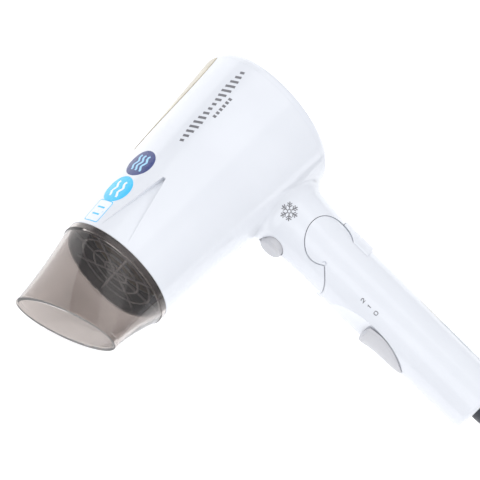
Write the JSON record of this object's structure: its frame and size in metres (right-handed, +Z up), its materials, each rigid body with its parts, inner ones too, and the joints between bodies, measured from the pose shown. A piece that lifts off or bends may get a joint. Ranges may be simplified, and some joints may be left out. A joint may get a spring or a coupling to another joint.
{
  "type": "hair dryer",
  "caption": "Hand-held hair dryer with tapered barrel, clear flattened turning nozzle, fold-away oval handle, slide switch, cool-air button and mains cord.",
  "frame": {"origin": "centre of the dryer's plan, on the surface it lies on", "axes": "+X along the barrel towards the air outlet, +Y along the handle away from the barrel, +Z up, across the dryer: its left side faces up"},
  "size_m": [0.2521, 0.3538, 0.0862],
  "materials": {
    "shell_white": "glossy white moulded plastic",
    "boot_white": "white elastomer",
    "crown_gold": "champagne metallic foil",
    "smoke_clear": "smoky clear plastic",
    "duct_dark": "heat-resistant dark plastic",
    "cover_white": "glossy white moulded plastic",
    "screen_grey": "fine woven mesh",
    "fan_plastic": "moulded",
    "steel": "plated steel",
    "mica": "pressed mica sheet",
    "heater_wire": "heater wire",
    "button_grey": "satin grey plastic",
    "board_green": "circuit board",
    "switch_black": "moulded",
    "lead_black": "insulated wire",
    "cord_charcoal": "flexible sheath",
    "washer_white": "moulded",
    "plate_grey": "satin label",
    "brass": "plated brass"
  },
  "bodies": {
    "barrel": {"barrel_shell_left": "shell_white", "barrel_shell_right": "shell_white", "crown_trim": "crown_gold", "intake_cover": "cover_white", "dust_screen": "screen_grey", "outlet_duct": "duct_dark", "outlet_guard": "duct_dark", "motor": "steel", "motor_carrier": "fan_plastic", "rectifier_board": "board_green", "heater_frame": "mica", "heater_coils": "heater_wire", "mica_sleeve": "mica", "thermostat": "brass", "thermal_fuse": "steel", "button_spring": "steel", "cool_switch": "switch_black", "hinge_washers": "washer_white", "neck_leads": "lead_black", "neck_screw": "steel"},
    "handle": {"handle_shell_left": "shell_white", "handle_shell_right": "shell_white", "hinge_boot": "boot_white", "hinge_pin": "steel", "slide_switch": "switch_black", "handle_board": "board_green", "handle_leads": "lead_black", "cord_clamp": "switch_black", "clamp_screws": "steel", "handle_screws": "steel", "strain_relief": "cord_charcoal", "cord_lead": "cord_charcoal", "cord_tail": "cord_charcoal", "cord_coil": "cord_charcoal", "cord_tie": "switch_black", "plug_body": "cord_charcoal", "plug_blades": "brass"},
    "nozzle": {"nozzle": "smoke_clear"},
    "fan": {"fan": "fan_plastic", "motor_shaft": "steel"},
    "cool_button": {"cool_button": "button_grey"},
    "switch_knob": {"switch_knob": "button_grey"}
  },
  "joints": [
    {"name": "handle_fold", "type": "hinge", "parent": "barrel", "child": "handle", "pos_m": [-0.04688, -0.02045, 0.0431], "axis": [0, 0, 1], "range_deg": [0, 85], "deforming": ["hinge_boot"]},
    {"name": "nozzle_turn", "type": "hinge", "parent": "barrel", "child": "nozzle", "pos_m": [0.05312, -0.08795, 0.0431], "axis": [1, 0, 0], "continuous": true},
    {"name": "fan_spin", "type": "hinge", "parent": "barrel", "child": "fan", "pos_m": [-0.06188, -0.08795, 0.0431], "axis": [1, 0, 0], "continuous": true},
    {"name": "cool_button_press", "type": "slide", "parent": "barrel", "child": "cool_button", "axis": [-1, 0, 0], "range_m": [0, 0.0025], "stiffness_N_per_m": 600, "springref_m": -0.001, "deforming": ["button_spring"]},
    {"name": "switch_slide", "type": "slide", "parent": "handle", "child": "switch_knob", "axis": [0, -1, 0], "range_m": [0, 0.0094]}
  ]
}
